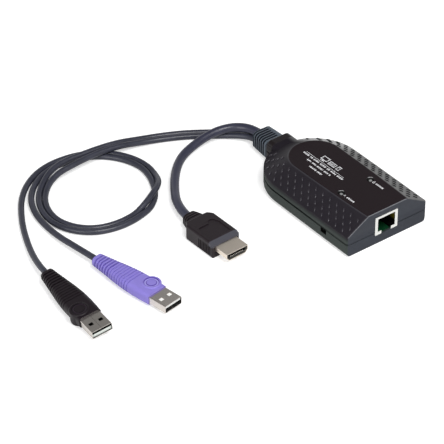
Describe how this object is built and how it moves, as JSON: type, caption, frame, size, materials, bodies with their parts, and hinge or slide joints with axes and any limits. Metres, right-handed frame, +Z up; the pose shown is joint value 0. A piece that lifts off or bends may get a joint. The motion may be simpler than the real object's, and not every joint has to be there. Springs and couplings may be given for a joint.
{
  "type": "kvm dongle",
  "caption": "Small keyboard, video and mouse adapter: flat black housing with a network jack in front and three cords from a rear boot, one with a video plug and two with data plugs.",
  "frame": {"origin": "middle of the housing, on the surface that it lies on", "axes": "+X from the cord boot towards the network jack, +Z up, +Y to the left looking along +X"},
  "size_m": [0.1663, 0.2024, 0.0211],
  "materials": {
    "black_cover": "fine texture, satin",
    "black_plastic": "matt",
    "green_board": "satin",
    "jack_steel": "bright plated sheet",
    "zinc_steel": "zinc plated",
    "aluminium_can": "satin",
    "gold_contacts": "bright",
    "clear_plastic": "clear, smooth",
    "white_plastic": "satin",
    "lead_wire": "satin",
    "cord_rubber": "satin, slate grey",
    "black_grip": "satin",
    "purple_grip": "satin",
    "nickel_sleeve": "bright nickel",
    "gold_sleeve": "pale gold plating"
  },
  "bodies": {
    "adapter": {"black_plug_contacts": "gold_contacts", "black_plug_grip": "black_grip", "black_plug_sleeve": "nickel_sleeve", "black_plug_tongue": "white_plastic", "capacitors": "aluminium_can", "case_screws": "zinc_steel", "circuit_board": "green_board", "controller_chip": "black_plastic", "cord_boot": "cord_rubber", "data_cord_a": "cord_rubber", "data_cord_b": "cord_rubber", "data_header_a": "white_plastic", "data_header_b": "white_plastic", "data_leads": "lead_wire", "lamp_link": "white_plastic", "lamp_power": "white_plastic", "light_pipe_link": "clear_plastic", "light_pipe_power": "clear_plastic", "lower_cover": "black_cover", "memory_chip": "black_plastic", "network_jack_body": "black_plastic", "network_jack_contacts": "gold_contacts", "network_jack_cover": "jack_steel", "network_transformer": "black_plastic", "purple_plug_contacts": "gold_contacts", "purple_plug_grip": "purple_grip", "purple_plug_sleeve": "nickel_sleeve", "purple_plug_tongue": "white_plastic", "switch_body": "black_plastic", "upper_cover": "black_cover", "video_chip": "black_plastic", "video_cord": "cord_rubber", "video_header": "white_plastic", "video_leads": "lead_wire", "video_plug_contacts": "gold_contacts", "video_plug_grip": "black_grip", "video_plug_insert": "black_plastic", "video_plug_sleeve": "gold_sleeve"},
    "switch": {"switch_knob": "black_plastic"}
  },
  "joints": [
    {"name": "switch_slide", "type": "slide", "parent": "adapter", "child": "switch", "axis": [1, 0, 0], "range_m": [0, 0.002]}
  ]
}
